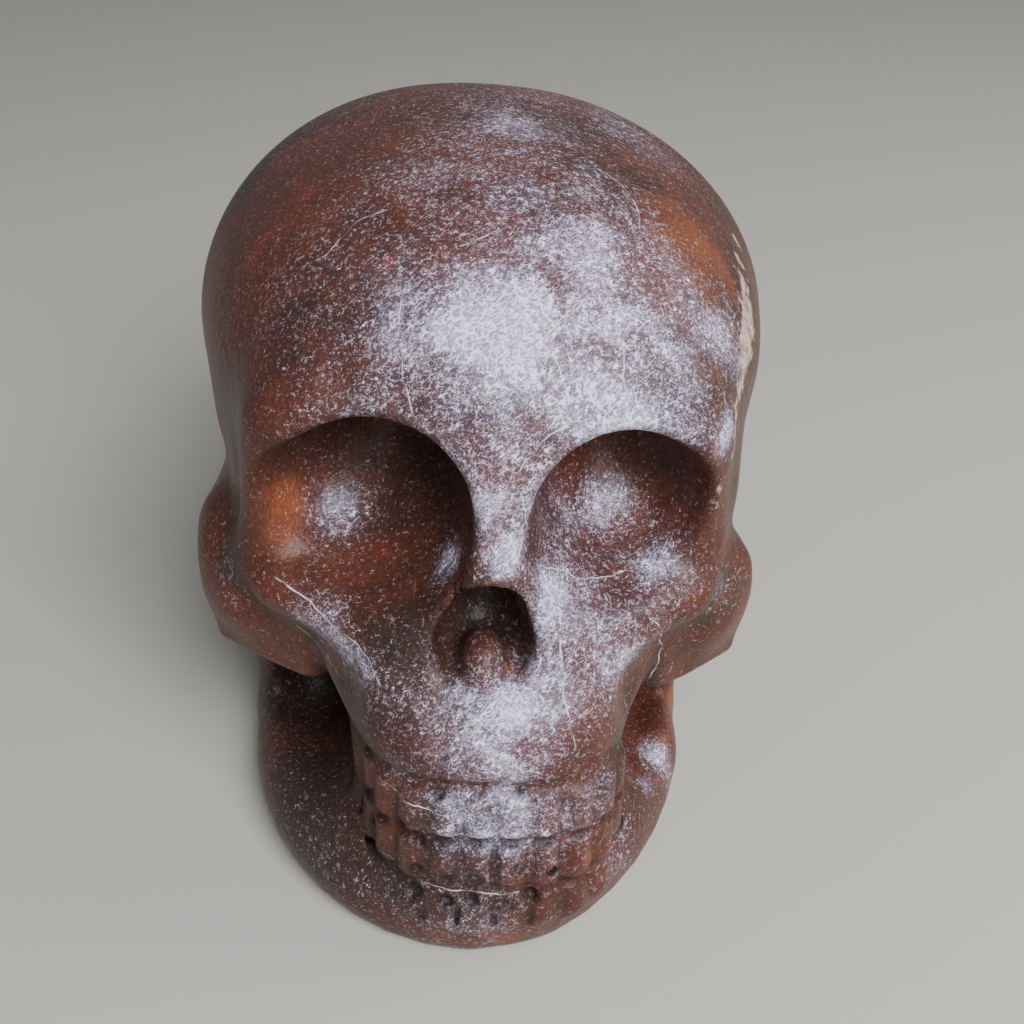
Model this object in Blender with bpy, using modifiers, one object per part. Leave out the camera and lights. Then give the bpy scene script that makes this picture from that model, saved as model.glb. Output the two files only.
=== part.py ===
"""A human-type skull carved from one block of red-brown stone, life-size ornament.

The face looks along -Y, +Z is up, and the flat underside stands on z = 0.
Sizes are in millimetres and turned into metres when a mesh is made.
"""
import math

import bmesh
import bpy
import numpy as np
from mathutils import Matrix, Vector

MM = 0.001
GAP = 0.3
FLOOR_ROUND = 2.0

# Jaw and teeth lie inside this corner: below this height and in front of this plane.
MOUTH_TOP = 66
MOUTH_BACK = 8

# Rounded lumps of bone: centre, half sizes, and how softly each melts into the rest.
LUMPS = {
    "brain_case": ((-1.1, 21, 93.5), (60.6, 66, 44), 0),
    "left_crown": ((-14, 21, 95.5), (45.5, 60, 39.5), 6),
    "forehead": ((0, -15, 100), (50, 45, 34.5), 14),
    "back_of_head": ((0, 42, 66), (50, 42, 44), 20),
    "skull_base": ((0, 14, 34), (50, 46, 38), 16),
    "temples": ((-1.7, -10, 80), (52.5, 34, 30), 8),
    "middle_face": ((0, -32, 76), (48, 24, 40), 10),
    "left_maxilla": ((-18, -46, 60), (16, 17, 19), 6),
    "right_maxilla": ((18, -46, 59), (15.5, 17, 19), 6),
    "left_cheek": ((-45, -33, 60), (12, 14, 14), 6),
    "right_cheek": ((42, -33, 57), (11, 14, 14), 6),
    "upper_jaw": ((0, -50, 49), (27.5, 28.5, 18), 8),
    "left_muzzle": ((-12.5, -58, 50), (12, 17.5, 13), 6),
    "right_muzzle": ((13.5, -57.5, 50), (12, 17.5, 13), 6),
    "mouth_block": ((0, -44, 28), (30, 34, 32), 5),
    "jaw_floor": ((-3, -30, 8), (40, 42, 17), 6),
}

# Rods of bone with round ends: start, end, start radius, end radius, softness.
RODS = {
    "brow": ((-30, -43, 100), (29, -43, 100), 9.5, 9.5, 14),
    "left_outer_rim": ((-37, -44, 99), (-42.5, -43, 72), 4.5, 5, 6),
    "right_outer_rim": ((35, -44, 99), (39.5, -43, 72), 4.5, 5, 6),
    "left_lower_rim": ((-14, -59, 66), (-39, -50, 68), 5, 5.5, 6),
    "right_lower_rim": ((14, -59, 66), (36.5, -50, 66), 5, 5.5, 6),
    "left_arch": ((-50.5, -25, 66), (-51, 14, 63), 7.5, 5, 8),
    "right_arch": ((44.5, -28, 57), (49, 14, 61), 6.5, 5, 8),
    "nose_bridge": ((1, -49, 104), (0, -56.5, 83), 8, 9, 10),
    "left_nose_wall": ((0, -57, 80), (-13, -60, 60), 7, 7, 8),
    "right_nose_wall": ((0, -57, 80), (13, -60, 59), 7, 7, 8),
    "left_tooth_bed": ((-12, -65.5, 12), (-12, -63, 43), 10.5, 9.5, 4),
    "middle_left_tooth_bed": ((-5, -69.5, 12), (-5, -66, 43), 11.8, 10.5, 4),
    "middle_right_tooth_bed": ((8, -69.5, 12), (8, -66, 43), 11.8, 10.5, 4),
    "right_tooth_bed": ((15, -65, 12), (15, -62, 43), 10.5, 9.5, 4),
    "left_ramus": ((-44, -20.5, 10), (-45.5, -18, 52), 7.5, 7, 6),
    "right_ramus": ((36, -20, 10), (40.5, -18, 50), 7.5, 6.5, 6),
    "left_jaw_body": ((-34, -36, 9), (-22, -60, 15), 10, 10, 5),
    "right_jaw_body": ((31.5, -36, 12), (23, -58, 15), 10, 10, 5),
}

# Flat plates of the cheeks: centre, half sizes, turn about +Z in degrees, rounding, softness.
PLATES = {
    "left_cheekbone": ((-42.5, -39, 56), (13.5, 5.5, 13), -34, 3, 5),
    "right_cheekbone": ((40, -39, 53), (12.5, 5.5, 13), 37, 3, 5),
}

# Hollows that the carver cut: lumps and rods again, taken away in groups.
LEFT_SOCKET = [((-24.5, -64, 88), (20.5, 29, 17)), ((-19, -60, 94.5), (15, 28, 13.5))]
RIGHT_SOCKET = [((25.5, -64, 87.5), (16.5, 29, 16.5)), ((21, -60, 93), (13.5, 28, 13))]
RIGHT_NOSE_SLOPE = [((19, -64, 87), (12, 12, 12))]
NOSE_HOLE = [((-1, -69, 68.5), (9.3, 16, 8.5)), ((-0.3, -66, 75.5), (6, 20, 6.5))]
SOCKET_MELT = 5
SOCKET_EDGE = 3
SLOPE_EDGE = 7
NOSE_MELT = 4
NOSE_EDGE = 2.5

# What the carver left standing in the nose: centre, half sizes, softness.
NOSE_RIDGE = ((-0.8, -66, 60), (4.2, 6.5, 8.2), 3)

# Long hollows, cut as rods: start, end, start radius, end radius, edge.
GROOVES = {
    "left_side_hollow": ((-35, -55, 28), (-37, -29, 23.5), 8, 9, 4),
    "left_hollow_top": ((-36, -56, 36), (-37, -30, 34), 7, 7, 4),
    "right_side_hollow": ((33, -55, 28), (32.5, -29, 24), 6, 7.5, 4),
    "right_hollow_top": ((35, -56, 34), (32.5, -30, 34), 6.5, 6.5, 4),
    "left_cheek_trough": ((-50, -57, 62), (-33, -65, 56), 8, 7, 5),
    "right_cheek_trough": ((47, -57, 59), (32, -64, 54), 8, 7, 5),
}

# The lower jaw is a horseshoe of half an ellipse for each side.
JAW_MIDDLE = (-3, -24, 7)
JAW_FRONT_REACH = 45
JAW_SIDE_REACH = {"left": 37.5, "right": 35.5}
JAW_CHIN_RADIUS = 13.5
JAW_CORNER_RADIUS = 11
JAW_RISE = 3
JAW_STEPS = 10
JAW_MELT = 5

# Tooth rows follow a squarish arch, one upright rib for each tooth.
TOOTH_MIDDLE = (1.5, -55)
TOOTH_ARCH = (21.8, 23.4)
TOOTH_SQUARENESS = 3.2
TOOTH_COUNT = 10
TOOTH_SPREAD = math.radians(70)

# Each row: its low and high ends, how far it leans back for each mm of rise, its radius.
TOOTH_ROWS = {"upper": (24, 41, 0.16, 4.3), "lower": (13, 15.5, 0, 4.6)}
TOOTH_TAPER = 0.9
ROW_MELT = 1.6

# Where the one stone is divided into the parts that a person would name.
BROW_CUT = 112
FACE_BACK = -27
BITE_CUT = 20.5
JAW_BACK = -11
RAMUS_FRONT = -30.5
RAMUS_INNER = {"left": -31, "right": 28}
RAMUS_TOP = {"left": 42.4, "right": 39.4}
CHEEK_INNER = {"left": -37, "right": 35}
CHEEK_LOW = {"left": 41, "right": 38}
CHEEK_HIGH = 80
OUTSIDE = 200

FIRST_VOXEL = 1.8
FINE_VOXEL = 1.25
KEPT_TRIANGLES = 12500

RED_STONE = (0.200, 0.062, 0.040)
LIT_STONE = (0.260, 0.085, 0.045)
DULL_STONE = (0.165, 0.070, 0.055)


def clear_scene():
    for item in list(bpy.data.objects):
        bpy.data.objects.remove(item, do_unlink=True)


def melt(a, b, k):
    """Smooth least of two distances: within k of each other they blend, as wax would."""
    if k <= 0:
        return np.minimum(a, b)
    h = np.clip(0.5 + 0.5 * (b - a) / k, 0, 1)
    return b + (a - b) * h - k * h * (1 - h)


def cut(a, b, k):
    """Take the solid of distance b away from the solid of distance a, with an eased edge."""
    return -melt(-a, b, k)


def lump(p, centre, half):
    """Distance to an ellipsoid, k0 (k0 - 1) / k1 with the point scaled once and twice."""
    q = p - np.array(centre, p.dtype)
    half = np.array(half, p.dtype)
    k0 = np.sqrt(((q / half) ** 2).sum(1)) + 1e-9
    k1 = np.sqrt(((q / half**2) ** 2).sum(1)) + 1e-9
    return k0 * (k0 - 1) / k1


def rod(p, start, end, r0, r1):
    """Distance to a rod with round ends, its radius going evenly from r0 to r1."""
    a = np.array(start, p.dtype)
    d = np.array(end, p.dtype) - a
    t = np.clip(((p - a) @ d) / (d @ d), 0, 1)
    away = p - a - t[:, None] * d
    return np.sqrt((away**2).sum(1)) - (r0 + (r1 - r0) * t)


def plate(p, centre, half, turn, round_off):
    """Distance to a box turned about +Z by some degrees, its edges rounded off."""
    c, s = math.cos(math.radians(turn)), math.sin(math.radians(turn))
    q = (p - np.array(centre, p.dtype)) @ np.array([[c, -s, 0], [s, c, 0], [0, 0, 1]], p.dtype)
    past = np.abs(q) - (np.array(half, p.dtype) - round_off)
    outside = np.sqrt((np.maximum(past, 0) ** 2).sum(1))
    return outside + np.minimum(past.max(1), 0) - round_off


def jaw_rods():
    """Rods along the jaw's half ellipse, from the chin to the corner on each side."""
    rods = []
    x, y, z = JAW_MIDDLE
    for side, sign in (("left", -1), ("right", 1)):
        points = []
        for i in range(JAW_STEPS + 1):
            t = 0.5 * math.pi * i / JAW_STEPS
            across = sign * JAW_SIDE_REACH[side] * math.sin(t)
            forward = JAW_FRONT_REACH * math.cos(t)
            points.append((x + across, y - forward, z + JAW_RISE * i / JAW_STEPS))
        for i in range(JAW_STEPS):
            share = [j / JAW_STEPS for j in (i, i + 1)]
            radii = [JAW_CHIN_RADIUS + (JAW_CORNER_RADIUS - JAW_CHIN_RADIUS) * s for s in share]
            rods.append((points[i], points[i + 1], radii[0], radii[1]))
    return rods


def tooth_places():
    """Even steps along the squarish arch x = a sin(t)^(2/n), y = -b cos(t)^(2/n)."""
    t = np.linspace(-TOOTH_SPREAD, TOOTH_SPREAD, 401)
    power = 2 / TOOTH_SQUARENESS
    x = TOOTH_MIDDLE[0] + TOOTH_ARCH[0] * np.sign(t) * np.abs(np.sin(t)) ** power
    y = TOOTH_MIDDLE[1] - TOOTH_ARCH[1] * np.cos(t) ** power
    along = np.concatenate([[0], np.cumsum(np.hypot(np.diff(x), np.diff(y)))])
    steps = np.linspace(0, along[-1], TOOTH_COUNT)
    return np.interp(steps, along, x), np.interp(steps, along, y)


def tooth_rods():
    """Upright ribs on the arch, an upper row that leans back in the middle, and a lower."""
    x, y = tooth_places()
    rods = []
    for low, high, lean, radius in TOOTH_ROWS.values():
        back = lean * (high - low) * (y.max() - y) / np.ptp(y)
        for a, b, c in zip(x, y, back):
            rods.append(((a, b, low), (a, b + c, high), radius, radius * TOOTH_TAPER))
    return rods


def stone(p):
    """Distance to the whole carving: lumps and rods melted together, hollows taken away."""
    d = np.full(len(p), 1e3, p.dtype)
    for centre, half, k in LUMPS.values():
        d = melt(d, lump(p, centre, half), k)
    for centre, half, turn, round_off, k in PLATES.values():
        d = melt(d, plate(p, centre, half, turn, round_off), k)
    for start, end, r0, r1, k in RODS.values():
        d = melt(d, rod(p, start, end, r0, r1), k)
    mouth = (p[:, 2] < MOUTH_TOP) & (p[:, 1] < MOUTH_BACK)
    for rods, k in ((jaw_rods(), JAW_MELT), (tooth_rods(), ROW_MELT)):
        nearest = np.min([rod(p[mouth], *values) for values in rods], axis=0)
        d[mouth] = melt(d[mouth], nearest, k)
    for group, melting, edge in (
        (RIGHT_NOSE_SLOPE, SOCKET_MELT, SLOPE_EDGE),
        (LEFT_SOCKET, SOCKET_MELT, SOCKET_EDGE),
        (RIGHT_SOCKET, SOCKET_MELT, SOCKET_EDGE),
        (NOSE_HOLE, NOSE_MELT, NOSE_EDGE),
    ):
        hole = np.full(len(p), 1e3, p.dtype)
        for centre, half in group:
            hole = melt(hole, lump(p, centre, half), melting)
        d = cut(d, hole, edge)
    d = melt(d, lump(p, *NOSE_RIDGE[:2]), NOSE_RIDGE[2])
    for start, end, r0, r1, k in GROOVES.values():
        d = cut(d, rod(p, start, end, r0, r1), k)
    return cut(d, p[:, 2], FLOOR_ROUND)


def settle(mesh, rounds):
    """Move each vertex along the slope of the distance until it lies on the surface."""
    flat = np.empty(len(mesh.vertices) * 3, np.float32)
    mesh.vertices.foreach_get("co", flat)
    p = flat.reshape(-1, 3) / np.float32(MM)
    step = 0.1
    for _ in range(rounds):
        here = stone(p)
        slope = np.empty_like(p)
        for axis in range(3):
            side = p.copy()
            side[:, axis] += step
            slope[:, axis] = (stone(side) - here) / step
        size = np.maximum((slope**2).sum(1), 0.3)
        p = p - 0.8 * slope * np.clip(here / size, -3, 3)[:, None]
    mesh.vertices.foreach_set("co", (p * MM).ravel())
    mesh.update()


def centre_on_floor(mesh):
    """Slide the mesh so that the middle of its bounding box stands on the origin."""
    flat = np.empty(len(mesh.vertices) * 3, np.float32)
    mesh.vertices.foreach_get("co", flat)
    p = flat.reshape(-1, 3)
    middle = (p.min(0) + p.max(0)) / 2
    p[:, :2] -= middle[:2]
    mesh.vertices.foreach_set("co", p.ravel())
    mesh.update()


def add_lump(bm, centre, half):
    grown = Matrix.Diagonal((*[v * MM for v in half], 1))
    place = Matrix.Translation(Vector(centre) * MM) @ grown
    bmesh.ops.create_uvsphere(bm, u_segments=48, v_segments=32, radius=1, matrix=place)


def add_rod(bm, start, end, r0, r1):
    a, b = Vector(start) * MM, Vector(end) * MM
    turn = (b - a).to_track_quat("Z", "Y").to_matrix().to_4x4()
    middle = Matrix.Translation((a + b) / 2) @ turn
    bmesh.ops.create_cone(
        bm, cap_ends=True, segments=24, radius1=r0 * MM, radius2=r1 * MM,
        depth=(b - a).length, matrix=middle,
    )
    for point, radius in ((a, r0), (b, r1)):
        bmesh.ops.create_uvsphere(
            bm, u_segments=24, v_segments=16, radius=radius * MM,
            matrix=Matrix.Translation(point),
        )


def add_plate(bm, centre, half, turn):
    grown = Matrix.Diagonal((*[2 * v * MM for v in half], 1))
    place = Matrix.Translation(Vector(centre) * MM) @ Matrix.Rotation(math.radians(turn), 4, "Z")
    bmesh.ops.create_cube(bm, size=1, matrix=place @ grown)


def new_object(name, bm, collection):
    mesh = bpy.data.meshes.new(name)
    bm.to_mesh(mesh)
    bm.free()
    item = bpy.data.objects.new(name, mesh)
    collection.objects.link(item)
    return item


def new_box(name, low, high, collection):
    """A closed box between two corners in millimetres, made from a unit cube."""
    bm = bmesh.new()
    size = [(h - l) * MM for l, h in zip(low, high)]
    middle = [(h + l) / 2 * MM for l, h in zip(low, high)]
    place = Matrix.Translation(middle) @ Matrix.Diagonal((*size, 1))
    bmesh.ops.create_cube(bm, size=1, matrix=place)
    item = new_object(name, bm, collection)
    item.hide_render = True
    item.display_type = "WIRE"
    return item


def apply_modifier(item):
    """Put the item's modifiers into its mesh."""
    graph = bpy.context.evaluated_depsgraph_get()
    graph.update()
    done = bpy.data.meshes.new_from_object(item.evaluated_get(graph))
    old = item.data
    item.modifiers.clear()
    item.data = done
    bpy.data.meshes.remove(old)


def voxel_remesh(item, size):
    modifier = item.modifiers.new("voxels", "REMESH")
    modifier.mode = "VOXEL"
    modifier.voxel_size = size * MM
    modifier.adaptivity = 0
    apply_modifier(item)


def boolean(item, other, operation):
    modifier = item.modifiers.new(operation.lower(), "BOOLEAN")
    modifier.operation = operation
    modifier.solver = "EXACT"
    modifier.object = other
    apply_modifier(item)


def keep_largest(item):
    """Keep only the largest closed surface of the item's mesh, by its number of faces."""
    bm = bmesh.new()
    bm.from_mesh(item.data)
    unseen = set(bm.verts)
    groups = []
    while unseen:
        seed = unseen.pop()
        group = {seed}
        front = [seed]
        while front:
            vertex = front.pop()
            for edge in vertex.link_edges:
                other = edge.other_vert(vertex)
                if other in unseen:
                    unseen.discard(other)
                    group.add(other)
                    front.append(other)
        groups.append(group)
    groups.sort(key=len)
    for group in groups[:-1]:
        bmesh.ops.delete(bm, geom=list(group), context="VERTS")
    bm.to_mesh(item.data)
    bm.free()


def carve(collection):
    """The whole stone as one mesh."""
    bm = bmesh.new()
    for centre, half, _ in LUMPS.values():
        add_lump(bm, centre, half)
    for start, end, r0, r1, _ in RODS.values():
        add_rod(bm, start, end, r0, r1)
    for centre, half, turn, _, _ in PLATES.values():
        add_plate(bm, centre, half, turn)
    for values in jaw_rods() + tooth_rods():
        add_rod(bm, *values)
    whole = new_object("whole_stone", bm, collection)
    voxel_remesh(whole, FIRST_VOXEL)
    bm = bmesh.new()
    for centre, half in RIGHT_NOSE_SLOPE + LEFT_SOCKET + RIGHT_SOCKET + NOSE_HOLE:
        add_lump(bm, centre, half)
    for start, end, r0, r1, _ in GROOVES.values():
        add_rod(bm, start, end, r0, r1)
    hollows = new_object("hollow_cutter", bm, collection)
    voxel_remesh(hollows, FIRST_VOXEL)
    boolean(whole, hollows, "DIFFERENCE")
    floor = new_box("floor_cutter", (-OUTSIDE, -OUTSIDE, -OUTSIDE), (OUTSIDE, OUTSIDE, 0), collection)
    boolean(whole, floor, "DIFFERENCE")
    bm = bmesh.new()
    add_lump(bm, *NOSE_RIDGE[:2])
    ridge = new_object("nose_ridge", bm, collection)
    boolean(whole, ridge, "UNION")
    for item in (hollows, floor, ridge):
        bpy.data.objects.remove(item, do_unlink=True)
    voxel_remesh(whole, FIRST_VOXEL)
    keep_largest(whole)
    settle(whole.data, 3)
    voxel_remesh(whole, FINE_VOXEL)
    keep_largest(whole)
    settle(whole.data, 3)
    modifier = whole.modifiers.new("even", "CORRECTIVE_SMOOTH")
    modifier.factor = 0.5
    modifier.iterations = 3
    modifier.use_only_smooth = False
    apply_modifier(whole)
    settle(whole.data, 2)
    modifier = whole.modifiers.new("fewer", "DECIMATE")
    modifier.ratio = KEPT_TRIANGLES / (2 * len(whole.data.polygons))
    modifier.use_collapse_triangulate = True
    apply_modifier(whole)
    centre_on_floor(whole.data)
    return whole


def region(name, boxes, grow, collection):
    """One closed cutter from overlapping boxes, each pushed out by grow on every side."""
    items = []
    for i, (low, high) in enumerate(boxes):
        low = [v - grow for v in low]
        high = [v + grow for v in high]
        items.append(new_box(f"{name}_{i}", low, high, collection))
    first = items[0]
    for other in items[1:]:
        boolean(first, other, "UNION")
        bpy.data.objects.remove(other, do_unlink=True)
    return first


def stone_material(name, colour, roughness):
    material = bpy.data.materials.new(name)
    material.use_nodes = True
    shader = material.node_tree.nodes["Principled BSDF"]
    shader.inputs["Base Color"].default_value = (*colour, 1)
    shader.inputs["Roughness"].default_value = roughness
    shader.inputs["Metallic"].default_value = 0
    material.diffuse_color = (*colour, 1)
    return material


def divide(whole, cutters, parts):
    """Cut the stone along thin planes into its named parts, which never touch."""
    far = OUTSIDE
    sides = (("left", -1), ("right", 1))
    jaw_boxes = [((-far, -far, -far), (far, JAW_BACK, BITE_CUT))]
    cheek_boxes = {}
    for side, sign in sides:
        low, high = sorted((RAMUS_INNER[side], sign * (far - 1)))
        jaw_boxes.append(((low, RAMUS_FRONT, 1 - far), (high, JAW_BACK, RAMUS_TOP[side])))
        low, high = sorted((CHEEK_INNER[side], sign * far))
        cheek_boxes[side] = [((low, -far, CHEEK_LOW[side]), (high, FACE_BACK, CHEEK_HIGH))]
    face_boxes = [((-far, -far, -far), (far, FACE_BACK, BROW_CUT))]
    plan = {
        "lower_jaw": ([], jaw_boxes),
        "left_cheekbone": ([jaw_boxes], cheek_boxes["left"]),
        "right_cheekbone": ([jaw_boxes], cheek_boxes["right"]),
        "face": ([jaw_boxes, cheek_boxes["left"], cheek_boxes["right"]], face_boxes),
        "cranium": ([jaw_boxes, face_boxes], None),
    }
    for name, (others, own) in plan.items():
        item = bpy.data.objects.new(name, whole.data.copy())
        parts.objects.link(item)
        if own:
            inside = region("inside", own, 0, cutters)
            boolean(item, inside, "INTERSECT")
            bpy.data.objects.remove(inside, do_unlink=True)
        for boxes in others:
            outside = region("outside", boxes, GAP, cutters)
            boolean(item, outside, "DIFFERENCE")
            bpy.data.objects.remove(outside, do_unlink=True)
        keep_largest(item)
        item.data.shade_smooth()
        item.data.set_sharp_from_angle(angle=math.radians(50))


def main():
    clear_scene()
    scene = bpy.context.scene
    parts = bpy.data.collections.new("carved_stone_skull")
    cutters = bpy.data.collections.new("cutters")
    scene.collection.children.link(parts)
    scene.collection.children.link(cutters)
    whole = carve(cutters)
    divide(whole, cutters, parts)
    bpy.data.objects.remove(whole, do_unlink=True)
    looks = {
        "cranium": stone_material("polished_red_stone", RED_STONE, 0.34),
        "face": stone_material("dusty_red_stone", DULL_STONE, 0.42),
        "left_cheekbone": stone_material("left_cheek_red_stone", RED_STONE, 0.38),
        "right_cheekbone": stone_material("right_cheek_brown_stone", LIT_STONE, 0.38),
        "lower_jaw": stone_material("jaw_brown_stone", DULL_STONE, 0.45),
    }
    for item in parts.objects:
        item.data.materials.clear()
        item.data.materials.append(looks[item.name])


main()
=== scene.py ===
"""Looks of a skull carved from one block of red-brown stone, dusty from its shelf."""
import math

import bpy
import numpy as np
from mathutils import Matrix, Vector


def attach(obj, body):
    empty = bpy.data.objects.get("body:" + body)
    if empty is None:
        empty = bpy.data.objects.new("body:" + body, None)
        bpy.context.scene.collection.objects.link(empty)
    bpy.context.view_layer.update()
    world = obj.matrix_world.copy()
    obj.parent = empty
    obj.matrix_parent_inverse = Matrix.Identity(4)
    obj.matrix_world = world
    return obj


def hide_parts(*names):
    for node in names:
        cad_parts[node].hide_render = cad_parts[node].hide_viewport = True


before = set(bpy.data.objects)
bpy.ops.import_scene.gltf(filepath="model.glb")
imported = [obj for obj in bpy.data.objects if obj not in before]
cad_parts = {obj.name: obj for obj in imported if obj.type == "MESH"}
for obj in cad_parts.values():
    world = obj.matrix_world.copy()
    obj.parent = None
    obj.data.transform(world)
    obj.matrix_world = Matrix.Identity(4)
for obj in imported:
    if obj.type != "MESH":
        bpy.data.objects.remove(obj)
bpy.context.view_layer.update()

# The carved stone
# One block of jasper, cut with wheels and burrs into a human-type skull and then
# tumbled to a waxy polish. Every lump, rod and hollow below is a size in millimetres
# that the carver left: the lumps melt into each other, and the hollows are taken away.

MM = 0.001

# Lumps have a centre, three half widths and how far they melt into the rest. Rods have
# two ends, two radii and the melting. Plates have a centre, half widths, a turn in
# degrees, the rounding of their edges and the melting.
LUMPS = {
    "brain_case": ((-1.1, 21, 93.5), (60.6, 66, 44), 0),
    "left_crown": ((-14, 21, 95.5), (45.5, 60, 39.5), 6),
    "forehead": ((0, -15, 100), (50, 45, 34.5), 14),
    "back_of_head": ((0, 42, 66), (50, 42, 44), 20),
    "skull_base": ((0, 14, 34), (50, 46, 38), 16),
    "temples": ((-1.7, -10, 80), (52.5, 34, 30), 8),
    "middle_face": ((0, -32, 76), (48, 24, 40), 10),
    "left_maxilla": ((-18, -46, 60), (16, 17, 19), 6),
    "right_maxilla": ((18, -46, 59), (15.5, 17, 19), 6),
    "left_cheek": ((-45, -33, 60), (12, 14, 14), 6),
    "right_cheek": ((42, -33, 57), (11, 14, 14), 6),
    "upper_jaw": ((0, -50, 49), (27.5, 28.5, 18), 8),
    "left_muzzle": ((-12.5, -58, 50), (12, 17.5, 13), 6),
    "right_muzzle": ((13.5, -57.5, 50), (12, 17.5, 13), 6),
    "mouth_block": ((0, -44, 28), (30, 34, 32), 5),
    "jaw_floor": ((-3, -30, 8), (40, 42, 17), 6),
}
RODS = {
    "brow": ((-30, -43, 100), (29, -43, 100), 9.5, 9.5, 14),
    "left_outer_rim": ((-37, -44, 99), (-42.5, -43, 72), 4.5, 5, 6),
    "right_outer_rim": ((35, -44, 99), (39.5, -43, 72), 4.5, 5, 6),
    "left_lower_rim": ((-14, -59, 66), (-39, -50, 68), 5, 5.5, 6),
    "right_lower_rim": ((14, -59, 66), (36.5, -50, 66), 5, 5.5, 6),
    "left_arch": ((-50.5, -25, 66), (-51, 14, 63), 7.5, 5, 8),
    "right_arch": ((44.5, -28, 57), (49, 14, 61), 6.5, 5, 8),
    "nose_bridge": ((1, -49, 104), (0, -56.5, 83), 8, 9, 10),
    "left_nose_wall": ((0, -57, 80), (-13, -60, 60), 7, 7, 8),
    "right_nose_wall": ((0, -57, 80), (13, -60, 59), 7, 7, 8),
    "left_tooth_bed": ((-12, -65.5, 12), (-12, -63, 43), 10.5, 9.5, 4),
    "middle_left_tooth_bed": ((-5, -69.5, 12), (-5, -66, 43), 11.8, 10.5, 4),
    "middle_right_tooth_bed": ((8, -69.5, 12), (8, -66, 43), 11.8, 10.5, 4),
    "right_tooth_bed": ((15, -65, 12), (15, -62, 43), 10.5, 9.5, 4),
    "left_ramus": ((-44, -20.5, 10), (-45.5, -18, 52), 7.5, 7, 6),
    "right_ramus": ((36, -20, 10), (40.5, -18, 50), 7.5, 6.5, 6),
    "left_jaw_body": ((-34, -36, 9), (-22, -60, 15), 10, 10, 5),
    "right_jaw_body": ((31.5, -36, 12), (23, -58, 15), 10, 10, 5),
}
PLATES = {
    "left_cheekbone": ((-42.5, -39, 56), (13.5, 5.5, 13), -34, 3, 5),
    "right_cheekbone": ((40, -39, 53), (12.5, 5.5, 13), 37, 3, 5),
}

# Holes are lumps that are cut out: how far they melt into each other, and the ease of
# their edge. The ridge in the nose hole is put back after them, and grooves are rods cut
# out last.
LEFT_SOCKET = [((-24.5, -64, 88), (20.5, 29, 17)), ((-19, -60, 94.5), (15, 28, 13.5))]
RIGHT_SOCKET = [((25.5, -64, 87.5), (16.5, 29, 16.5)), ((21, -60, 93), (13.5, 28, 13))]
RIGHT_NOSE_SLOPE = [((19, -64, 87), (12, 12, 12))]
NOSE_HOLE = [((-1, -69, 68.5), (9.3, 16, 8.5)), ((-0.3, -66, 75.5), (6, 20, 6.5))]
HOLES = (
    (RIGHT_NOSE_SLOPE, 5, 7), (LEFT_SOCKET, 5, 2.6), (RIGHT_SOCKET, 5, 2.6), (NOSE_HOLE, 4, 1.2),
)
NOSE_RIDGE = ((-1.2, -64.5, 60), (5, 7.5, 8.8), 4)
GROOVES = {
    "left_side_hollow": ((-35, -55, 28), (-37, -29, 23.5), 8, 9, 4),
    "left_hollow_top": ((-36, -56, 36), (-37, -30, 34), 7, 7, 4),
    "right_side_hollow": ((33, -55, 28), (32.5, -29, 24), 6, 7.5, 4),
    "right_hollow_top": ((35, -56, 34), (32.5, -30, 34), 6.5, 6.5, 4),
    "left_cheek_trough": ((-50, -57, 62), (-33, -65, 56), 8, 7, 5),
    "right_cheek_trough": ((47, -57, 59), (32, -64, 54), 8, 7, 5),
}


def melt(a, b, k):
    """Smooth least of two distances: within k of each other they blend, as wax would."""
    if k <= 0:
        return np.minimum(a, b)
    h = np.clip(0.5 + 0.5 * (b - a) / k, 0, 1)
    return b + (a - b) * h - k * h * (1 - h)


def cut(a, b, k):
    """Distance to solid a with solid b taken away, the edge eased over k."""
    return -melt(-a, b, k)


def lump(p, centre, half):
    """Distance to an ellipsoid: k0 (k0 - 1) / k1, with k0 = |q/r| and k1 = |q/r^2|."""
    q = p - np.array(centre, p.dtype)
    half = np.array(half, p.dtype)
    k0 = np.sqrt(((q / half) ** 2).sum(1)) + 1e-9
    k1 = np.sqrt(((q / half**2) ** 2).sum(1)) + 1e-9
    return k0 * (k0 - 1) / k1


def rod(p, start, end, r0, r1):
    """Distance to the nearest point of a line, less a radius that goes from r0 to r1."""
    a = np.array(start, p.dtype)
    d = np.array(end, p.dtype) - a
    t = np.clip(((p - a) @ d) / (d @ d), 0, 1)
    away = p - a - t[:, None] * d
    return np.sqrt((away**2).sum(1)) - (r0 + (r1 - r0) * t)


def plate(p, centre, half, turn, round_off):
    """Distance to a box turned about +Z by some degrees, its edges rounded off."""
    c, s = math.cos(math.radians(turn)), math.sin(math.radians(turn))
    q = (p - np.array(centre, p.dtype)) @ np.array([[c, -s, 0], [s, c, 0], [0, 0, 1]], p.dtype)
    past = np.abs(q) - (np.array(half, p.dtype) - round_off)
    outside = np.sqrt((np.maximum(past, 0) ** 2).sum(1))
    return outside + np.minimum(past.max(1), 0) - round_off


def jaw_rods(
    middle=(-3, -24, 7), front=45, sides=(-37.5, 35.5), chin=13.5, corner=11, rise=3, steps=10
):
    """The horseshoe of the lower jaw: rods along half an ellipse, (a sin t, -b cos t).

    From the chin to the corners it rises evenly, and its radius changes evenly.
    """
    rods = []
    t = np.linspace(0, math.pi / 2, steps + 1)
    y = middle[1] - front * np.cos(t)
    z = middle[2] + rise * t / t[-1]
    radius = chin + (corner - chin) * t / t[-1]
    for side in sides:
        path = np.stack([middle[0] + side * np.sin(t), y, z], 1)
        rods += [(path[i], path[i + 1], radius[i], radius[i + 1]) for i in range(steps)]
    return rods


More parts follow.
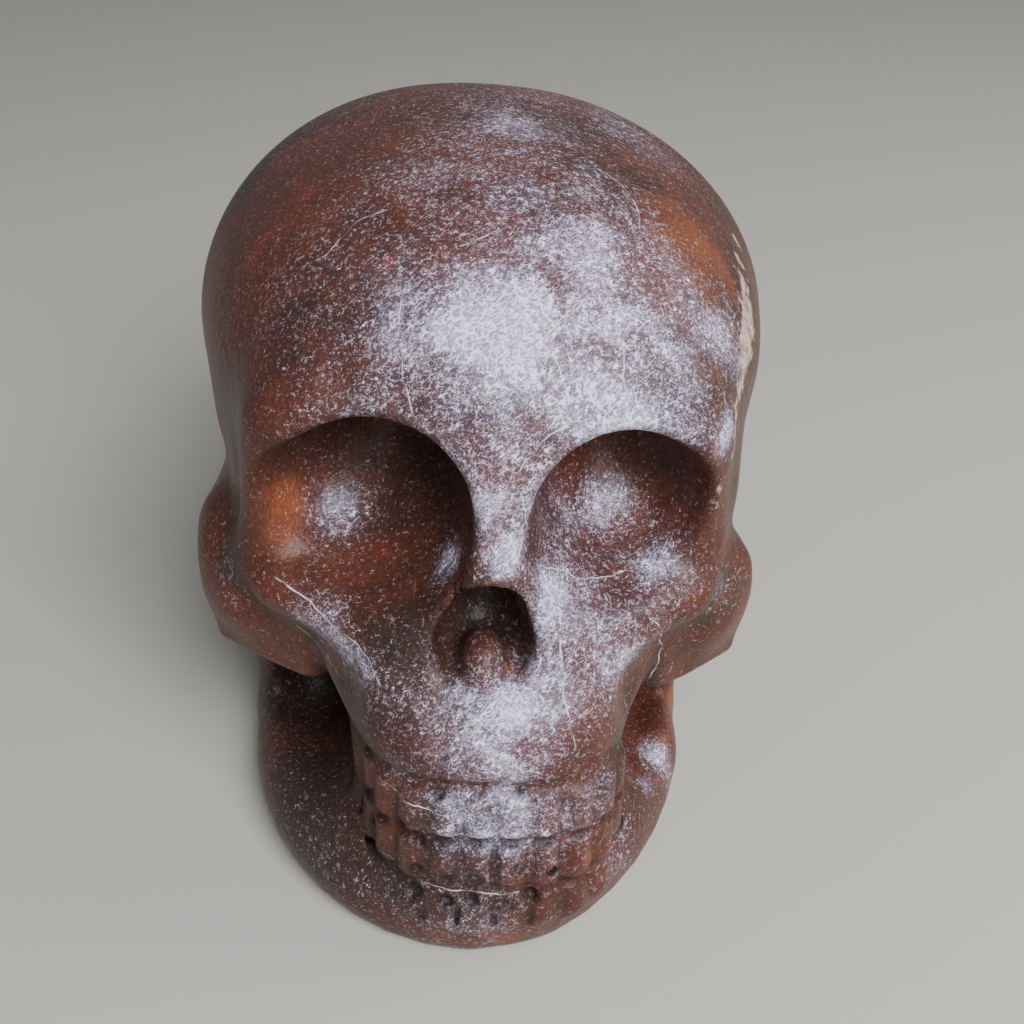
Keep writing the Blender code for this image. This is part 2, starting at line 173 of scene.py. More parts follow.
def tooth_places(count=10, spread=math.radians(70), middle=(1.5, -55), arch=(21.8, 23.4), n=3.2):
    """Even steps along the squarish arch x = a sin(t)^(2/n), y = -b cos(t)^(2/n)."""
    t = np.linspace(-spread, spread, 401)  # fine enough to measure the arch by chords
    x = middle[0] + arch[0] * np.sign(t) * np.abs(np.sin(t)) ** (2 / n)
    y = middle[1] - arch[1] * np.cos(t) ** (2 / n)
    along = np.concatenate([[0], np.cumsum(np.hypot(np.diff(x), np.diff(y)))])
    steps = np.linspace(0, along[-1], count)
    return np.interp(steps, along, x), np.interp(steps, along, y)


def tooth_rods(rows=((24, 41, 0.16, 4.3), (13, 15.5, 0, 4.6)), taper=0.9):
    """Upright ribs on the arch, a row for each (low, high, lean, radius).

    The lean is how far back a rib goes for each millimetre that it rises, all of it at
    the front teeth and none at the hindmost.
    """
    x, y = tooth_places()
    rods = []
    for low, high, lean, radius in rows:
        back = lean * (high - low) * (y.max() - y) / np.ptp(y)
        ends = [((a, b, low), (a, b + c, high)) for a, b, c in zip(x, y, back)]
        rods += [(foot, top, radius, radius * taper) for foot, top in ends]
    return rods


# Lines round the tooth arch: height, radius, and share of the lean of the saw lines.
GUM = (44.4, 1.6, 1.1)
WAIST = (32.5, 1.1, 0.5)
BITE = (20.4, 0.9, 0.1)


def mouth_lines(upper=(23, 43), lower=(11, 18), lean=3, wide=0.8, narrow=0.48):
    """Saw lines between the teeth, wide above and narrow below, and lines round the arch."""
    x, y = tooth_places(11, math.radians(78), arch=(25.6, 27.2))
    back = lean * (y.max() - y) / np.ptp(y)
    rods = [((a, b, upper[0]), (a, b + c, upper[1]), wide, wide) for a, b, c in zip(x, y, back)]
    for a, b in list(zip(x, y))[3:8]:  # only the front teeth have them below
        rods.append(((a, b, lower[0]), (a, b, lower[1]), narrow, narrow))
    for height, radius, share in (GUM, WAIST, BITE):
        ends = [(a, b + share * c, height) for a, b, c in zip(x, y, back)]
        rods += [(start, end, radius, radius) for start, end in zip(ends[:-1], ends[1:])]
    return rods


# Holes of the ball burr at the corners between teeth: centre and radius.
PITS = [
    ((-16.4, -77, 33.5), 1.6), ((-12.6, -78.8, 31), 1.2), ((-13.2, -80, 24.5), 1.2),
    ((-7.4, -82.2, 23.5), 1.5), ((-2.1, -82.5, 24), 1.5), ((6, -82.2, 26.6), 1.1),
    ((-14.1, -79.8, 17.4), 1.9), ((-2.8, -81.8, 17.4), 1.5), ((1.8, -82.8, 16.8), 1.5),
    ((4.2, -82.7, 16.6), 1.5), ((8.6, -80.8, 18), 1.4), ((-7.6, -77.7, 51.4), 0.8),
    ((-21.8, -70, 33.7), 1.3), ((-21.5, -71, 27), 1.2), ((12, -80.5, 25), 1.1),
    ((-9, -77.9, 42.5), 1.1), ((5.8, -78.1, 43), 1), ((-7.6, -81.4, 17), 1.2),
]


# The rods of the jaw, and those of the teeth, count below a height and before a depth.
# Before any solid is added, all is far off.
MOUTH = (66, 8)
TEETH = (58, -52)
FAR_OFF = 1e3


def stone(p, line_edge=0.8, pit_edge=0.6, foot_edge=2):
    """Distance to the carving: lumps and rods melted together, then the hollows cut."""
    d = np.full(len(p), FAR_OFF, p.dtype)
    for centre, half, k in LUMPS.values():
        d = melt(d, lump(p, centre, half), k)
    for centre, half, turn, round_off, k in PLATES.values():
        d = melt(d, plate(p, centre, half, turn, round_off), k)
    for start, end, r0, r1, k in RODS.values():
        d = melt(d, rod(p, start, end, r0, r1), k)
    mouth = (p[:, 2] < MOUTH[0]) & (p[:, 1] < MOUTH[1])
    teeth = (p[:, 2] < TEETH[0]) & (p[:, 1] < TEETH[1])
    for part, rods, k in ((mouth, jaw_rods(), 5), (teeth, tooth_rods(), 2)):
        nearest = np.min([rod(p[part], *values) for values in rods], axis=0)
        d[part] = melt(d[part], nearest, k)
    for group, melting, edge in HOLES:
        hole = np.full(len(p), FAR_OFF, p.dtype)
        for centre, half in group:
            hole = melt(hole, lump(p, centre, half), melting)
        d = cut(d, hole, edge)
    d = melt(d, lump(p, *NOSE_RIDGE[:2]), NOSE_RIDGE[2])
    lines = np.min([rod(p[teeth], *values) for values in mouth_lines()], axis=0)
    d[teeth] = cut(d[teeth], lines, line_edge)
    pits = [np.sqrt(((p[teeth] - np.array(c, p.dtype)) ** 2).sum(1)) - r for c, r in PITS]
    d[teeth] = cut(d[teeth], np.min(pits, axis=0), pit_edge)
    for start, end, r0, r1, k in GROOVES.values():
        d = cut(d, rod(p, start, end, r0, r1), k)
    return cut(d, p[:, 2], foot_edge)


def slope_of(p, step=0.1):
    """Distance and its slope, by a small step along each axis."""
    here = stone(p)
    moves = np.float32(step) * np.eye(3, dtype=np.float32)
    sides = [stone(p + move) for move in moves]
    return here, (np.stack(sides, 1) - here[:, None]) / step


def settle(p, rounds=3, least=0.3):
    """Newton steps, distance times slope over slope squared, onto the surface.

    A step is at most 1 mm, and where the slope is weak its square counts as the least.
    """
    for _ in range(rounds):
        here, slope = slope_of(p)
        square = np.maximum((slope**2).sum(1), least)
        p = p - slope * np.clip(here / square, -1, 1)[:, None]
    return p


# Grid lines along x, y and z: each stop gives a place and the step on from it, which is
# fine over the mouth and wider over the smooth brain case.
GRID = (
    ((-70, 1.15), (68, 0)),
    ((-90, 0.8), (-50, 1.3), (94, 0)),
    ((-3, 0.8), (56, 1.3), (142, 0)),
)


def surface_net(coarse=4, reach=13):
    """One point in each grid cell that the surface crosses, at the mean of its crossings.

    An edge of a cell is crossed at d0 / (d0 - d1) of its length. Cells round a crossed
    edge are joined by a four-sided face. The distance is worked out on every fourth grid
    point first, and on all of them only where that is within reach.
    """
    lines = []
    for stops in GRID:
        pairs = zip(stops[:-1], stops[1:])
        line = np.concatenate([np.arange(start, end, step) for (start, step), (end, _) in pairs])
        line = line.astype(np.float32)
        lines.append(line[: len(line) // coarse * coarse])
    size = [len(line) for line in lines]
    grid = np.stack(np.meshgrid(*[line[::coarse] for line in lines], indexing="ij"), -1)
    rough = stone(grid.reshape(-1, 3).astype(np.float32)).reshape(grid.shape[:3])
    for axis in range(3):
        rough = np.repeat(rough, coarse, axis)
    near = np.argwhere(np.abs(rough) < reach)
    points = np.stack([lines[axis][near[:, axis]] for axis in range(3)], 1)
    d = rough
    d[tuple(near.T)] = stone(points)
    cells = [n - 1 for n in size]

    def corner(i, j, k):
        return d[i : i + cells[0], j : j + cells[1], k : k + cells[2]]

    total = np.zeros((*cells, 3), np.float32)
    crossings = np.zeros(cells, np.float32)
    for axis in range(3):
        for a in (0, 1):
            for b in (0, 1):
                start = [a, b]
                start.insert(axis, 0)
                end = list(start)
                end[axis] = 1
                d0, d1 = corner(*start), corner(*end)
                crossed = (d0 < 0) != (d1 < 0)
                t = np.where(crossed, d0 / np.where(crossed, d0 - d1, 1), 0)
                for other in range(3):
                    total[..., other] += crossed * start[other]
                total[..., axis] += t
                crossings += crossed
    live = crossings > 0
    number = np.full(cells, -1)
    number[live] = np.arange(live.sum())
    where = np.argwhere(live)
    where = where + total[live] / crossings[live][:, None]
    p = np.stack([np.interp(where[:, a], np.arange(size[a]), lines[a]) for a in range(3)], 1)
    faces = []
    inside = d < 0
    for axis in range(3):
        u, v = (axis + 1) % 3, (axis + 2) % 3
        flips = np.diff(inside.astype(np.int8), axis=axis)
        for sign in (1, -1):
            at = np.argwhere(flips == sign)
            at = at[(at[:, u] > 0) & (at[:, v] > 0) & (at < cells).all(1)]
            ring = []
            for du, dv in ((1, 1), (0, 1), (0, 0), (1, 0)):
                cell = at.copy()
                cell[:, u] -= du
                cell[:, v] -= dv
                ring.append(number[tuple(cell.T)])
            quad = np.stack(ring, 1)
            faces.append(quad if sign < 0 else quad[:, ::-1])
    return p.astype(np.float32), np.concatenate(faces)


def new_piece(name, points, faces):
    """A mesh object at the origin from whole arrays of points (metres) and faces."""
    mesh = bpy.data.meshes.new(name)
    mesh.vertices.add(len(points))
    mesh.vertices.foreach_set("co", np.asarray(points, np.float32).ravel())
    mesh.loops.add(faces.size)
    mesh.loops.foreach_set("vertex_index", faces.astype(np.int32).ravel())
    mesh.polygons.add(len(faces))
    starts = np.arange(0, faces.size, faces.shape[1], dtype=np.int32)
    mesh.polygons.foreach_set("loop_start", starts)
    mesh.update(calc_edges=True)
    mesh.validate()
    mesh.shade_smooth()
    piece = bpy.data.objects.new(name, mesh)
    bpy.context.scene.collection.objects.link(piece)
    return piece


net_points, net_faces = surface_net()
net_points = settle(net_points)
MIDDLE = (net_points.min(0) + net_points.max(0)) / 2
MIDDLE[2] = 0
skull = new_piece("carved_skull", (net_points - MIDDLE) * MM, net_faces)

_, skull_slope = slope_of(net_points)
skull_normal = skull_slope / np.linalg.norm(skull_slope, axis=1, keepdims=True)

# The seat of the photo, from which blots on the stone are named by their photo pixels:
# the picture's width and the focal length in pixels, the point in the head that the
# middle of the picture looks at, and how many mm away from it the seat is.
PICTURE = 1024
FOCAL = 1200
LOOKED_AT = (5, -22, 66)
AWAY = 250
azimuth, elevation, roll = (math.radians(v) for v in (-2.5, 35, 2))
flat = math.cos(elevation)
back = Vector((math.sin(azimuth) * flat, -math.cos(azimuth) * flat, math.sin(elevation)))
level = Vector((math.cos(azimuth), math.sin(azimuth), 0))
above = back.cross(level)
right = level * math.cos(roll) + above * math.sin(roll)
up = above * math.cos(roll) - level * math.sin(roll)
eye = Vector(LOOKED_AT) + back * AWAY


def on_stone(pixels, start=120, steps=160, caution=0.7):
    """The points of the stone, in mm, that photo pixels look at, and how far off they are.

    Each ray goes on by the distance to the stone, times a caution, until it lands.
    """
    px, py = np.array(pixels, float).T
    half = PICTURE / 2
    ray = np.outer(px - half, right) + np.outer(half - py, up) - FOCAL * np.array(back)
    ray /= np.linalg.norm(ray, axis=1, keepdims=True)
    far = np.full(len(px), float(start))
    for _ in range(steps):
        here = (np.array(eye) + ray * far[:, None]).astype(np.float32)
        far += np.clip(caution * stone(here), -3, 8)
    return np.array(eye) + ray * far[:, None], far


def blots(values):
    """Strength 1 - product of (1 - s exp(-(d / r)^2)) of blots (px, py, radius in px, s)."""
    middles, far = on_stone([v[:2] for v in values])
    left_bare = np.ones(len(net_points))
    for middle, distance, (_, _, radius, strength) in zip(middles, far, values):
        reach = radius * distance / FOCAL
        away = ((net_points - middle) ** 2).sum(1) / reach**2
        left_bare *= 1 - strength * np.exp(-away)
    return 1 - left_bare


def write_attribute(piece, name, values):
    """One number for each vertex, which the material reads by its name."""
    attribute = piece.data.attributes.new(name, "FLOAT", "POINT")
    attribute.data.foreach_set("value", np.asarray(values, np.float32))


# Blots of the finish, each with its photo pixel, its radius in pixels and its strength.
# Dust settled where the face leans back, and is thin on the left of the brow and the jaw.
# Some of these blots are painted sheen and glints, not dust: the broad shine on the forehead and
# the muzzle, the glints in both eye sockets and on the lump low on the right jaw.
DUST_AND_SHEEN = [
    (520, 350, 100, 1.0), (640, 330, 75, 0.8), (430, 320, 60, 0.65), (600, 240, 110, 0.5),
    (520, 130, 85, 0.45), (430, 190, 100, 0.25), (310, 280, 75, 0.15), (640, 400, 60, 0.65),
    (340, 390, 60, 0.15), (505, 450, 45, 1.0), (500, 505, 38, 1.0), (505, 548, 28, 0.8),
    (560, 590, 40, 0.7), (560, 520, 50, 0.5), (340, 515, 30, 0.6), (612, 505, 30, 0.8),
    (500, 735, 62, 0.88), (420, 700, 40, 0.35), (455, 820, 40, 0.5), (520, 825, 50, 0.55),
    (590, 800, 40, 0.35), (590, 650, 55, 0.55), (640, 640, 40, 0.45), (720, 590, 35, 0.2),
    (318, 622, 32, 0.6), (350, 655, 25, 0.5), (655, 752, 20, 0.8), (668, 775, 18, 0.5),
    (645, 782, 18, 0.4), (310, 850, 40, 0.12), (360, 890, 40, 0.12), (470, 930, 60, 0.3),
    (620, 850, 35, 0.35), (240, 590, 40, 0.12),
    (228, 420, 30, 0.1), (728, 330, 40, 0.7), (728, 430, 22, 0.7), (560, 700, 40, 0.6),
    (450, 560, 24, 0.5), (655, 560, 35, 0.55), (250, 300, 60, 0.05), (620, 130, 70, 0.3),
    (372, 684, 30, 0.35), (400, 770, 26, 0.3),
]

# Sheltered or rubbed places where it doesn't lie, and painted shade where the dust is taken off so
# that the dark stone shows: the nose hole, the deep parts of the eye sockets, the left jaw hollow,
# the left temple and the line under the muzzle.
BARE_AND_SHADED = [
    (485, 625, 36, 0.8), (512, 672, 14, 0.9), (450, 665, 16, 0.6), (295, 700, 42, 0.9),
    (430, 470, 45, 0.8), (375, 550, 32, 0.5), (670, 450, 40, 0.7), (560, 880, 35, 0.5),
    (480, 787, 14, 0.6), (430, 783, 14, 0.6), (530, 787, 14, 0.6), (580, 780, 14, 0.5),
    (385, 800, 22, 0.6), (400, 600, 30, 0.6), (280, 470, 30, 0.5), (700, 245, 42, 0.85),
    (716, 300, 20, 0.6), (672, 215, 30, 0.5), (228, 420, 42, 0.7),
]

# Orange-brown, red and dull brown places of the stone itself, with painted light in some orange
# blots and painted shade in some dull ones.
# Painted light among the orange blots: the lit outer wall of the left eye socket, the glow along
# the right ramus and the bounce light under the chin.
ORANGE_AND_LIGHT = [
    (692, 240, 80, 0.6), (640, 160, 50, 0.3), (285, 500, 28, 0.75), (283, 545, 25, 0.6),
    (672, 700, 20, 0.9), (660, 740, 14, 0.6), (510, 672, 10, 0.8), (500, 940, 26, 0.5),
    (440, 936, 18, 0.35), (330, 395, 22, 0.35), (590, 855, 16, 0.5), (610, 430, 22, 0.3),
    (718, 598, 36, 0.35),
]
RED = [
    (480, 295, 10, 0.8), (390, 260, 9, 0.9), (377, 553, 22, 0.35), (300, 200, 60, 0.35),
    (256, 250, 30, 0.3), (504, 541, 11, 0.7),
]
# Painted shade among the dull blots: the shadowed left temple and cheek, the left jaw hollow, the
# deep side of the left eye socket, the top of the nose hole and low on the jaw.
DULL_AND_SHADE = [
    (230, 560, 45, 0.6), (715, 600, 45, 0.75), (228, 420, 45, 0.8), (320, 840, 60, 0.7),
    (290, 690, 55, 1.0), (245, 190, 35, 0.6), (640, 810, 40, 0.5), (400, 880, 50, 0.7),
    (300, 780, 55, 1.0), (480, 830, 60, 0.6), (480, 620, 40, 0.8), (430, 450, 45, 0.7),
    (400, 640, 45, 0.7), (370, 720, 40, 0.5), (560, 900, 50, 0.5), (470, 900, 40, 0.5),
]

# A pale vein runs down the right temple, and a pale chip sits in the bridge of the nose.
PALE = [
    (736, 240, 9, 0.8), (740, 262, 11, 0.8), (744, 284, 13, 0.85), (747, 306, 17, 0.9),
    (748, 328, 20, 0.9), (746, 350, 19, 0.9), (742, 372, 15, 0.85), (739, 392, 11, 0.8),
    (736, 412, 8, 0.8), (735, 432, 8, 0.75), (733, 452, 8, 0.7), (722, 486, 10, 0.45),
    (714, 508, 9, 0.45), (503, 540, 6, 0.8),
]

# Slots are darkened, with grime and painted shade: there a point 2 mm out of the surface is nearer
# to it than 2 mm.
# Rims catch dust: there a point 3 mm down is nearer to a surface than 3 mm, in full
# where it is 1.6 mm nearer.
SLOT_WIDTH = 2
RIM_DEPTH = 3
RIM_FULL = 1.6
outside = stone((net_points + SLOT_WIDTH * skull_normal).astype(np.float32))
slot = 1 - np.clip(outside / SLOT_WIDTH, 0, 1)
inside = stone((net_points - RIM_DEPTH * skull_normal).astype(np.float32))
rim = np.clip((inside + RIM_DEPTH) / RIM_FULL, 0, 1)

# Dust also settles thinly on what faces up, more of it towards the back of the crown.
BACK_OF_CROWN = 50
settled = 0.3 * np.clip(skull_normal[:, 2], 0, 1) ** 2
settled = settled * np.clip(net_points[:, 1] / BACK_OF_CROWN, 0, 1)
# The dust mask also carries the painted sheen and glints of the blots above.
dust_and_sheen = 1 - (1 - blots(DUST_AND_SHEEN)) * (1 - settled)
dust_on_rims = 0.5 * rim * np.clip(2 * dust_and_sheen, 0, 1)

# Each burr hole is darkened with grime and painted shade out to 1.35 of its radius, by exp(-d^4).
in_pit = [np.linalg.norm(net_points - centre, axis=1) / (1.35 * radius) for centre, radius in PITS]

write_attribute(skull, "slot", slot)
write_attribute(skull, "dust_and_sheen", dust_and_sheen * (1 - blots(BARE_AND_SHADED)) + dust_on_rims)
for blot_name, blot_values in (("orange_and_light", ORANGE_AND_LIGHT), ("red", RED), ("dull_and_shade", DULL_AND_SHADE), ("pale", PALE)):
    write_attribute(skull, blot_name, blots(blot_values))
write_attribute(skull, "pit", np.exp(-np.min(in_pit, axis=0) ** 4))

# Fine pale fibres that lie on the stone, each through its photo pixels.
FIBRES = [
    [(404, 296), (399, 330), (403, 372), (409, 402)],
    [(470, 243), (500, 231), (532, 219)],
    [(512, 330), (495, 352), (494, 378), (528, 392)],
    [(585, 300), (560, 318), (548, 340), (560, 372)],
    [(640, 330), (622, 352), (628, 385)],
    [(560, 430), (530, 452), (513, 478), (527, 520)],
    [(283, 582), (315, 606), (352, 640), (376, 676)],
    [(276, 612), (304, 632), (334, 668)],
    [(546, 566), (580, 578), (622, 572)],
    [(560, 650), (563, 690), (574, 742)],
    [(398, 862), (425, 881), (452, 890), (480, 892), (510, 893)],
    [(385, 783), (410, 806), (445, 816)],
    [(655, 622), (662, 645), (652, 674)],
    [(330, 250), (352, 226), (380, 212)],
    [(600, 170), (628, 190), (640, 222)],
]


def fibre_lines(fibres, widest=3, near=2.5):
    """Two numbers for every vertex, about the straight run of a fibre nearest to it.

    They are the distance across to it in mm, signed by the side, and the nearness,
    1 - distance / near.
    """
    side = np.full(len(net_points), float(widest))
    least = np.full(len(net_points), np.inf)
    for pixels in fibres:
        points, _ = on_stone(pixels)
        for start, end in zip(points[:-1], points[1:]):
            length = np.linalg.norm(end - start)
            along = (end - start) / length
            half_way = (start + end)[None].astype(np.float32) / 2
            across = np.cross(along, slope_of(half_way)[1][0])
            across /= np.linalg.norm(across)
            offset = net_points - start
            reach = np.clip(offset @ along, 0, length)
            away = np.linalg.norm(offset - np.outer(reach, along), axis=1)
            closer = away < least
            least[closer] = away[closer]
            side[closer] = (offset @ across)[closer]
    return np.clip(side, -widest, widest), np.clip(1 - least / near, 0, 1)


for fibre_name, fibre_values in zip(("fibre_side", "fibre_near"), fibre_lines(FIBRES)):
    write_attribute(skull, fibre_name, fibre_values)


def linear(code):
    """An sRGB hex colour as linear red, green, blue and an alpha of 1."""
    parts = [int(code[i : i + 2], 16) / 255 for i in (1, 3, 5)]
    return [c / 12.92 if c <= 0.04045 else ((c + 0.055) / 1.055) ** 2.4 for c in parts] + [1.0]


# Jasper, tumbled to a waxy polish and never washed since. The eye sees an opaque dark
# red-brown with a soft wide shine, and over it a lilac film of dust, with painted sheen in
# it, in which fine white strokes lie, so that the dusty places are matt.
def stone_finish():
    """Coats from the stone up. Noise scales are in cells for each metre."""
    material = bpy.data.materials.new("tumbled_red_jasper")
    material.use_nodes = True
    tree = material.node_tree
    smooth = {"interpolation_type": "SMOOTHSTEP"}
    colours = {"data_type": "RGBA"}

    def add(kind, inputs, out=0, **properties):
        """Add a node, set its properties, set or link its inputs, and give one output."""
        node = tree.nodes.new("ShaderNode" + kind)
        for name, value in properties.items():
            setattr(node, name, value)
        for socket, value in inputs.items():
            if isinstance(value, bpy.types.NodeSocket):
                tree.links.new(value, node.inputs[socket])
            else:
                node.inputs[socket].default_value = value
        return node.outputs[out]

    # Body colour: clouds 30 mm across and mottling of 6 mm.
    place = add("TexCoord", {}, "Object")
    clouds = add("TexNoise", {"Vector": place, "Scale": 33, "Detail": 3})
    clouds = add("MapRange", {"Value": clouds, "From Min": 0.38, "From Max": 0.62}, **smooth)
    mottle = add("TexNoise", {"Vector": place, "Scale": 160, "Detail": 5, "Roughness": 0.6})
    spots = add("MapRange", {
        "Value": mottle, "From Min": 0.4, "From Max": 0.68, "To Max": 0.45,
    }, **smooth)
    colour = add("Mix", {0: clouds, 6: linear("#422a21"), 7: linear("#5b3124")}, 2, **colours)
    colour = add("Mix", {0: spots, 6: colour, 7: linear("#6f3c29")}, 2, **colours)

    # Blots of other browns, their edges eaten by the mottling: the dull ones are partly painted
    # shade, the orange ones partly painted light.
    worn = add("Math", {0: mottle, 1: 0.5, 2: -0.25}, operation="MULTIPLY_ADD")
    browns = (("dull_and_shade", 0.9, "#382d26"), ("orange_and_light", 0.8, "#8f502f"), ("red", 0.8, "#8a3020"))
    for name, strength, brown in browns:
        blot = add("Attribute", {}, "Fac", attribute_name=name)
        blot = add("Math", {0: blot, 1: worn}, operation="ADD")
        blot = add("MapRange", {
            "Value": blot, "From Min": 0.15, "From Max": 0.75, "To Max": strength,
        }, **smooth)
        colour = add("Mix", {0: blot, 6: colour, 7: linear(brown)}, 2, **colours)

    # The pale vein: its edge is broken and its colour crackled by noise of 2.4 mm.
    cracked = add("TexNoise", {"Vector": place, "Scale": 420, "Detail": 4, "Roughness": 0.7})
    edge = add("Math", {0: cracked, 1: 1.8, 2: -0.9}, operation="MULTIPLY_ADD")
    pale = add("Attribute", {}, "Fac", attribute_name="pale")
    pale = add("Math", {0: pale, 1: edge}, operation="ADD")
    pale = add("MapRange", {"Value": pale, "From Min": 0.25, "From Max": 0.6}, **smooth)
    crackle = add("MapRange", {
        "Value": cracked, "From Min": 0.35, "From Max": 0.6, "To Min": 0.3, "To Max": 0.95,
    }, **smooth)
    pale = add("Math", {0: pale, 1: crackle}, operation="MULTIPLY")
    colour = add("Mix", {0: pale, 6: colour, 7: linear("#d8bba9")}, 2, **colours)

    # Dark grain of 0.7 mm, which is coarser than the real grain so that it shows.
    grain = add("TexNoise", {"Vector": place, "Scale": 1400})
    grain = add("MapRange", {"Value": grain, "From Min": 0.3, "From Max": 0.7}, **smooth)
    specks = add("Math", {0: grain, 1: 0.3}, operation="MULTIPLY")
    colour = add("Mix", {0: specks, 6: colour, 7: linear("#25100d")}, 2, **colours)

    # Dust and painted sheen: it drifts by noise of 14 mm, and lies as a thin lilac film where
    # there is much of it, which also paints the window's sheen and the glints.
    drift = add("TexNoise", {"Vector": place, "Scale": 70, "Detail": 4, "Roughness": 0.65})
    drift = add("MapRange", {
        "Value": drift, "From Min": 0.32, "From Max": 0.66, "To Min": 0.5, "To Max": 1.25,
    }, **smooth)
    dust_and_sheen = add("Attribute", {}, "Fac", attribute_name="dust_and_sheen")
    dust_and_sheen = add("Math", {0: dust_and_sheen, 1: drift}, operation="MULTIPLY", use_clamp=True)
    film_and_sheen = add("Math", {0: dust_and_sheen, 1: 2.5}, operation="POWER")
    film_and_sheen = add("Math", {0: film_and_sheen, 1: 0.62}, operation="MULTIPLY")
    colour = add("Mix", {0: film_and_sheen, 6: colour, 7: linear("#a6a3cc")}, 2, **colours)

    # In the film lie slanted strokes about 1 mm long, which widen until they close up.
    slant = add("Mapping", {
        "Vector": place, "Rotation": (0, -0.45, 0.55), "Scale": (1.5, 0.9, 0.9),
    }, vector_type="TEXTURE")

    def strokes(scale, start, strength):
        """Where noise is near its middle value, cut short by wider noise.

        The lower the start, the more dust it takes for a stroke to show.
        """
        curl = add("TexNoise", {"Vector": slant, "Scale": scale, "Detail": 1})
        curl = add("Math", {0: curl, 1: 0.5}, operation="SUBTRACT")
        curl = add("Math", {0: curl}, operation="ABSOLUTE")
        curl = add("Math", {0: curl, 1: -6.5}, operation="MULTIPLY")
        amount = add("Math", {0: dust_and_sheen, 1: 0.9, 2: start}, operation="MULTIPLY_ADD")
        broken = add("TexNoise", {"Vector": place, "Scale": 0.65 * scale, "Roughness": 0.65})
        broken = add("Math", {0: broken, 1: 2.2, 2: amount}, operation="MULTIPLY_ADD")
        stroke = add("Math", {0: curl, 1: broken}, operation="ADD")
        return add("MapRange", {"Value": stroke, "From Max": 0.6, "To Max": strength}, **smooth)

    fine = strokes(1700, -1.02, 0.55)
    white = strokes(1250, -1.29, 0.95)
    colour = add("Mix", {0: fine, 6: colour, 7: linear("#cdbfc4")}, 2, **colours)
    colour = add("Mix", {0: white, 6: colour, 7: linear("#eeedff")}, 2, **colours)
    white = add("Math", {0: white, 1: fine}, operation="MAXIMUM")

    # Painted shade and dark grime in the burr holes and the slots.
    pit = add("Attribute", {}, "Fac", attribute_name="pit")
    slot = add("Attribute", {}, "Fac", attribute_name="slot")
    grime_and_shade = add("Math", {0: pit, 1: slot}, operation="MAXIMUM")
    grime_and_shade = add("Math", {0: grime_and_shade, 1: 0.9}, operation="MULTIPLY")
    colour = add("Mix", {0: grime_and_shade, 6: colour, 7: linear("#1d1511")}, 2, **colours)

    # Fibres 0.2 mm to each side: they wander by noise of 6 mm, and fade by noise of 3 mm.
    wander = add("TexNoise", {"Vector": place, "Scale": 170})
    wander = add("Math", {0: wander, 1: 3, 2: -1.5}, operation="MULTIPLY_ADD")
    side = add("Attribute", {}, "Fac", attribute_name="fibre_side")
    side = add("Math", {0: side, 1: wander}, operation="ADD")
    side = add("Math", {0: side}, operation="ABSOLUTE")
    fibre = add("MapRange", {
        "Value": side, "From Min": 0.02, "From Max": 0.2, "To Min": 1, "To Max": 0,
    }, **smooth)
    near = add("Attribute", {}, "Fac", attribute_name="fibre_near")
    near = add("MapRange", {"Value": near, "From Min": 0.2, "From Max": 0.4}, **smooth)
    fibre = add("Math", {0: fibre, 1: near}, operation="MULTIPLY")
    fade = add("TexNoise", {"Vector": place, "Scale": 300})
    fade = add("MapRange", {
        "Value": fade, "From Min": 0.4, "From Max": 0.6, "To Min": 0.1, "To Max": 0.75,
    }, **smooth)
    fibre = add("Math", {0: fibre, 1: fade}, operation="MULTIPLY")
    colour = add("Mix", {0: fibre, 6: colour, 7: linear("#f2eef2")}, 2, **colours)

    # Polished where bare and matt where covered.
    covered = add("Math", {0: film_and_sheen, 1: white}, operation="MAXIMUM")
    covered = add("Math", {0: covered, 1: fibre}, operation="MAXIMUM")
    matt = add("MapRange", {"Value": covered, "To Min": 0.38, "To Max": 0.7}, **smooth)
    shader = tree.nodes["Principled BSDF"]
    tree.links.new(colour, shader.inputs["Base Color"])
    tree.links.new(matt, shader.inputs["Roughness"])
    shader.inputs["IOR"].default_value = 1.45
    shader.inputs["Specular IOR Level"].default_value = 0.3

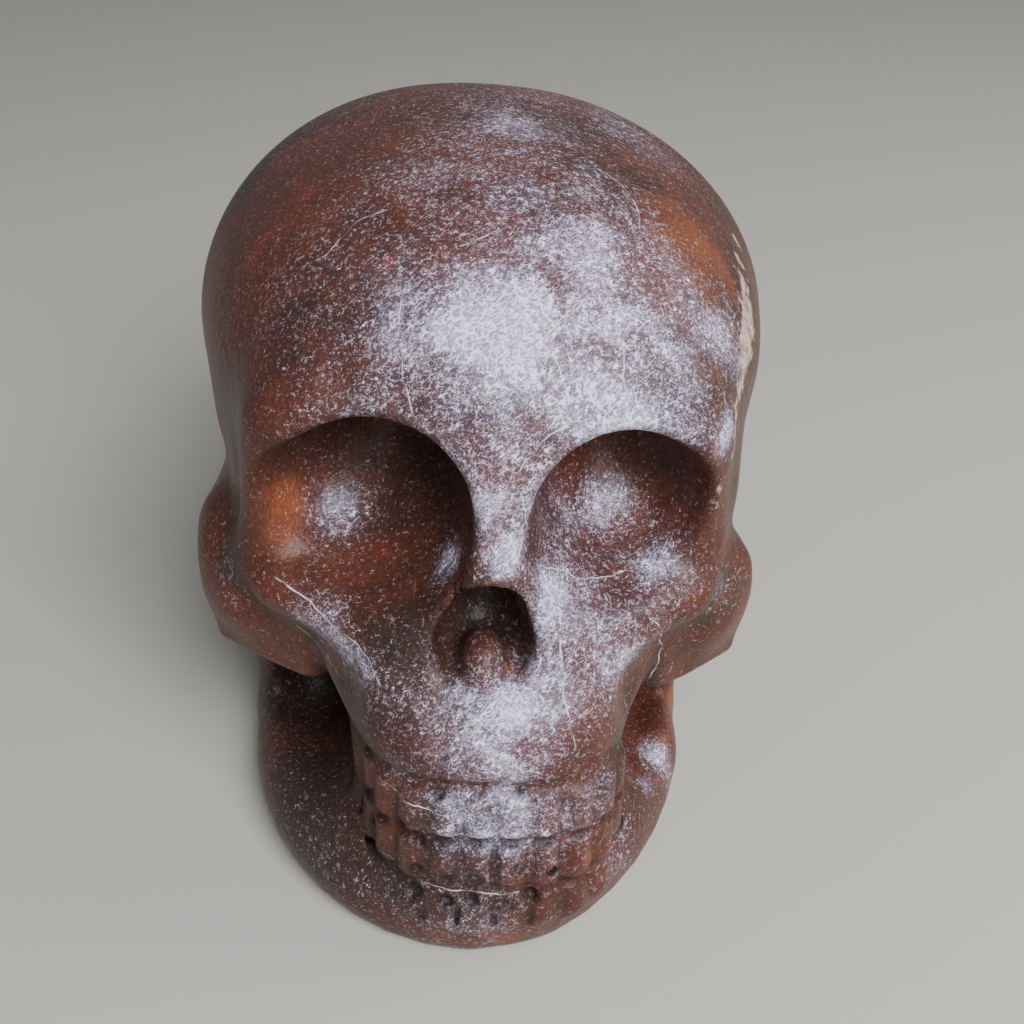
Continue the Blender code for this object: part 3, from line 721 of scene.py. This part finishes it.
    # The coats and the grain stand up a little, and waves of 4 mm are left by the tumbling.
    waves = add("TexNoise", {"Vector": place, "Scale": 260})
    waves = add("Math", {0: waves, 1: 4}, operation="MULTIPLY")
    height = add("Math", {0: grain, 1: 0.6, 2: covered}, operation="MULTIPLY_ADD")
    height = add("Math", {0: height, 1: waves}, operation="ADD")
    bump = add("Bump", {"Height": height, "Strength": 0.5, "Distance": 0.2 * MM}, "Normal")
    tree.links.new(bump, shader.inputs["Normal"])
    return material


skull.data.materials.append(stone_finish())
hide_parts("cranium", "face", "left_cheekbone", "right_cheekbone", "lower_jaw")
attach(skull, "root")

# The shelf, light and camera
# A plain pale floor, one wide soft window light from the front right, and a weaker
# fill, so that the polish shows one broad soft shine on the forehead.

bpy.ops.mesh.primitive_plane_add(size=6, location=(0, 0, 0))
floor = bpy.context.object
floor.name = "pale_floor"
paint = bpy.data.materials.new("pale_floor_paint")
paint.use_nodes = True
paint.node_tree.nodes["Principled BSDF"].inputs["Base Color"].default_value = linear("#bdb9ac")
paint.node_tree.nodes["Principled BSDF"].inputs["Roughness"].default_value = 0.9
floor.data.materials.append(paint)

world = bpy.data.worlds.new("soft_room")
bpy.context.scene.world = world
world.use_nodes = True
world.node_tree.nodes["Background"].inputs["Color"].default_value = linear("#dfe3ea")
world.node_tree.nodes["Background"].inputs["Strength"].default_value = 0.3


def add_window(name, towards, distance, size, watts, tint):
    """A square soft light, towards some direction, that looks at the middle of the face."""
    light = bpy.data.lights.new(name, "AREA")
    light.size = size
    light.energy = watts
    light.color = linear(tint)[:3]
    lamp = bpy.data.objects.new(name, light)
    bpy.context.scene.collection.objects.link(lamp)
    aim = Vector((0, -0.04, 0.07))
    lamp.location = aim + Vector(towards).normalized() * distance
    lamp.rotation_euler = (lamp.location - aim).to_track_quat("Z", "Y").to_euler()


add_window("window", (0.32, -0.64, 0.66), distance=1.0, size=0.55, watts=18, tint="#f2f4ff")
add_window("side_fill", (0.9, 0.1, 0.5), distance=1.2, size=0.6, watts=5, tint="#ffffff")

camera_data = bpy.data.cameras.new("photo_camera")
camera_data.sensor_width = 36
camera_data.lens = camera_data.sensor_width * FOCAL / PICTURE
camera_data.clip_start = 0.01
camera = bpy.data.objects.new("photo_camera", camera_data)
bpy.context.scene.collection.objects.link(camera)
turn = Matrix((right, up, back)).transposed().to_4x4()
camera.matrix_world = Matrix.Translation((eye - Vector(MIDDLE)) * MM) @ turn
bpy.context.scene.camera = camera
